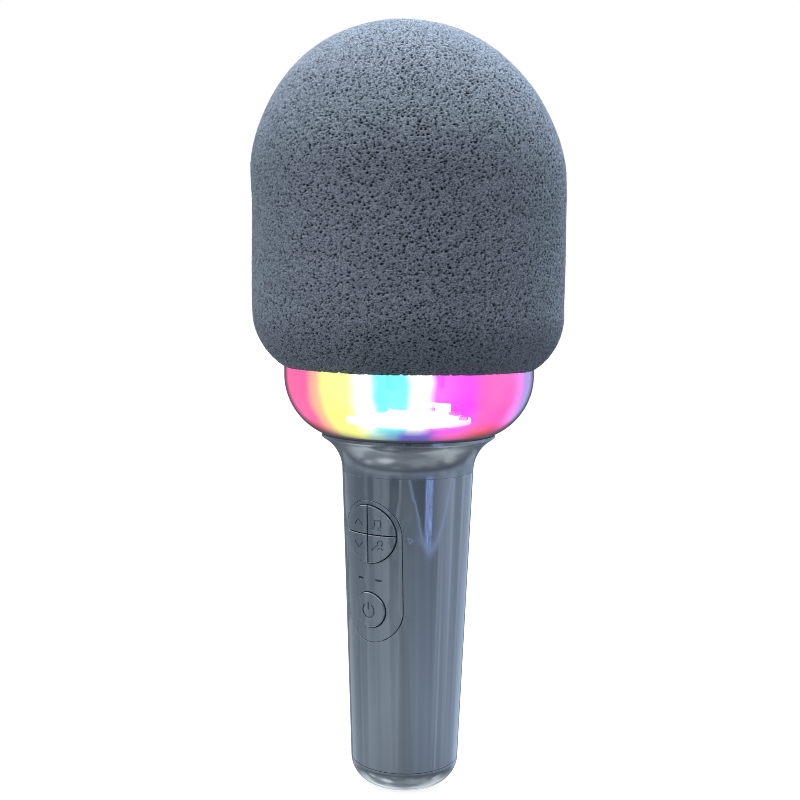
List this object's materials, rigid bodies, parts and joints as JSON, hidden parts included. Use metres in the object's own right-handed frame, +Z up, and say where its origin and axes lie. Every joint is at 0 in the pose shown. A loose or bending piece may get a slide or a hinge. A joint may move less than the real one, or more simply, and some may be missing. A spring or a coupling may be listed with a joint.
{
  "type": "toy microphone",
  "caption": "Karaoke-style toy microphone with a foam dome head, a translucent light ring, a flared neck and a tapered handle with push keys.",
  "frame": {"origin": "centre of the end cap's flat foot", "axes": "+Z up along the handle towards the foam dome, -Y out of the control panel"},
  "size_m": [0.0976, 0.0976, 0.2404],
  "materials": {
    "foam": "matte open-cell foam",
    "case_plastic": "gloss",
    "diffuser_plastic": "clear, slightly milky",
    "white_plastic": "satin",
    "black_plastic": "satin",
    "smoked_lens": "gloss",
    "rubber": "matte",
    "steel": "satin",
    "screw_steel": "zinc plated",
    "magnet": "sintered ferrite",
    "copper": "enamelled winding",
    "cone_paper": "pressed pulp",
    "spider_cloth": "resin-dipped cloth",
    "green_board": "solder mask",
    "white_board": "white solder mask",
    "led": "white package",
    "chip": "moulded package",
    "cream_plastic": "satin",
    "cell_wrap": "shrink wrap",
    "wire": "sheath"
  },
  "bodies": {
    "handle": {"neck_collar": "case_plastic", "handle_tube": "case_plastic", "end_cap": "case_plastic", "control_panel": "case_plastic", "light_diffuser": "diffuser_plastic", "light_core": "white_plastic", "grille_cage": "black_plastic", "speaker_tray": "black_plastic", "inner_sled": "black_plastic", "switch_bodies": "black_plastic", "charge_socket_tongue": "black_plastic", "indicator_lenses": "smoked_lens", "mic_boot": "rubber", "cone_surround": "rubber", "speaker_gasket": "rubber", "speaker_yoke": "steel", "speaker_top_plate": "steel", "speaker_basket": "steel", "charge_socket_shell": "steel", "mic_capsule": "steel", "speaker_screws": "screw_steel", "led_board_screws": "screw_steel", "core_screws": "screw_steel", "tray_screws": "screw_steel", "charge_board_screws": "screw_steel", "board_screws": "screw_steel", "sled_screws": "screw_steel", "speaker_magnet": "magnet", "cone_spider": "spider_cloth", "main_board": "green_board", "charge_board": "green_board", "led_board": "white_board", "rgb_leds": "led", "indicator_leds": "led", "board_chips": "chip", "led_connector": "cream_plastic", "cable_headers": "cream_plastic", "battery_cell": "cell_wrap", "mic_cable": "wire", "speaker_cable": "wire", "led_cable": "wire", "battery_cable": "wire", "charge_cable": "wire"},
    "volume_up_button": {"volume_up_key": "case_plastic", "volume_up_plunger": "cream_plastic"},
    "volume_down_button": {"volume_down_key": "case_plastic", "volume_down_plunger": "cream_plastic"},
    "mode_button": {"mode_key": "case_plastic", "mode_plunger": "cream_plastic"},
    "voice_button": {"voice_key": "case_plastic", "voice_plunger": "cream_plastic"},
    "power_button": {"power_key": "case_plastic", "power_plunger": "cream_plastic"},
    "windscreen": {"foam_windscreen": "foam"},
    "speaker_moving_parts": {"voice_coil": "copper", "speaker_cone": "cone_paper", "dust_cap": "cone_paper"}
  },
  "joints": [
    {"name": "volume_up_press", "type": "slide", "parent": "handle", "child": "volume_up_button", "axis": [0, 1, 0], "range_m": [0, 0.0003], "stiffness_N_per_m": 40},
    {"name": "volume_down_press", "type": "slide", "parent": "handle", "child": "volume_down_button", "axis": [0, 1, 0], "range_m": [0, 0.0003], "stiffness_N_per_m": 40},
    {"name": "mode_press", "type": "slide", "parent": "handle", "child": "mode_button", "axis": [0, 1, 0], "range_m": [0, 0.0003], "stiffness_N_per_m": 40},
    {"name": "voice_press", "type": "slide", "parent": "handle", "child": "voice_button", "axis": [0, 1, 0], "range_m": [0, 0.0003], "stiffness_N_per_m": 40},
    {"name": "power_press", "type": "slide", "parent": "handle", "child": "power_button", "axis": [0, 1, 0], "range_m": [0, 0.0003], "stiffness_N_per_m": 40},
    {"name": "windscreen_pull", "type": "slide", "parent": "handle", "child": "windscreen", "axis": [0, 0, 1], "range_m": [0, 0.1]},
    {"name": "cone_stroke", "type": "slide", "parent": "handle", "child": "speaker_moving_parts", "axis": [0, 0, 1], "range_m": [-0.0008, 0.0008], "stiffness_N_per_m": 400, "deforming": ["cone_surround", "cone_spider"]}
  ]
}
